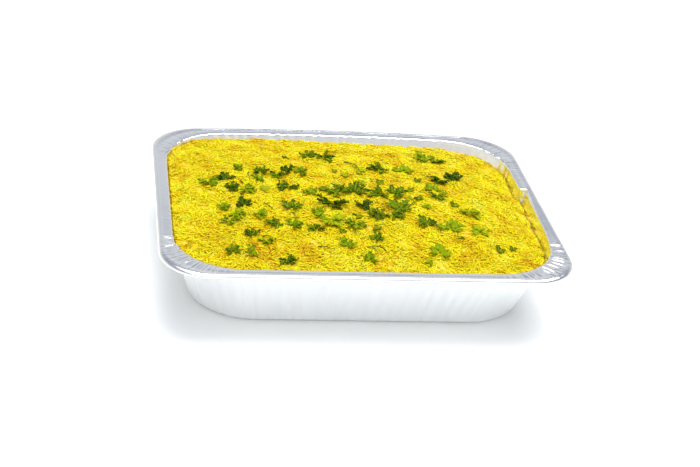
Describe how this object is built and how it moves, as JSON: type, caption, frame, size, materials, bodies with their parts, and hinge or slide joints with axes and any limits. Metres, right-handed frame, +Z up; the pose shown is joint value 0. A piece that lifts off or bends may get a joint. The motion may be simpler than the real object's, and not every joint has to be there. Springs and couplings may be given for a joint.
{
  "type": "foil tray meal",
  "caption": "Rectangular fluted foil catering tray filled level with yellow long-grain rice, scattered with parsley leaves.",
  "frame": {"origin": "middle of the tray's flat base, on the surface that it stands on", "axes": "+X along the tray's long side, +Y away from the viewer towards the back side, +Z up"},
  "size_m": [0.324, 0.2677, 0.0657],
  "materials": {
    "foil": "bright rolled foil, pressed into flutes",
    "rice": "cooked yellow rice, moist",
    "parsley": "fresh parsley leaf"
  },
  "bodies": {
    "root": {"tray": "foil", "rice": "rice", "leaf_01": "parsley", "leaf_02": "parsley", "leaf_03": "parsley", "leaf_04": "parsley", "leaf_05": "parsley", "leaf_06": "parsley", "leaf_07": "parsley", "leaf_08": "parsley", "leaf_09": "parsley", "leaf_10": "parsley", "leaf_11": "parsley", "leaf_12": "parsley", "leaf_13": "parsley", "leaf_14": "parsley", "leaf_15": "parsley", "leaf_16": "parsley", "leaf_17": "parsley", "leaf_18": "parsley", "leaf_19": "parsley", "leaf_20": "parsley", "leaf_21": "parsley", "leaf_22": "parsley", "leaf_23": "parsley", "leaf_24": "parsley", "leaf_25": "parsley", "leaf_26": "parsley", "leaf_27": "parsley", "leaf_28": "parsley", "leaf_29": "parsley", "leaf_30": "parsley", "leaf_31": "parsley", "leaf_32": "parsley", "leaf_33": "parsley", "leaf_34": "parsley", "leaf_35": "parsley", "leaf_36": "parsley", "leaf_37": "parsley", "leaf_38": "parsley", "leaf_39": "parsley", "leaf_40": "parsley", "leaf_41": "parsley", "leaf_42": "parsley", "leaf_43": "parsley", "leaf_44": "parsley", "leaf_45": "parsley", "leaf_46": "parsley", "leaf_47": "parsley", "leaf_48": "parsley", "leaf_49": "parsley", "leaf_50": "parsley", "leaf_51": "parsley", "leaf_52": "parsley", "leaf_53": "parsley", "leaf_54": "parsley", "leaf_55": "parsley"}
  },
  "joints": []
}
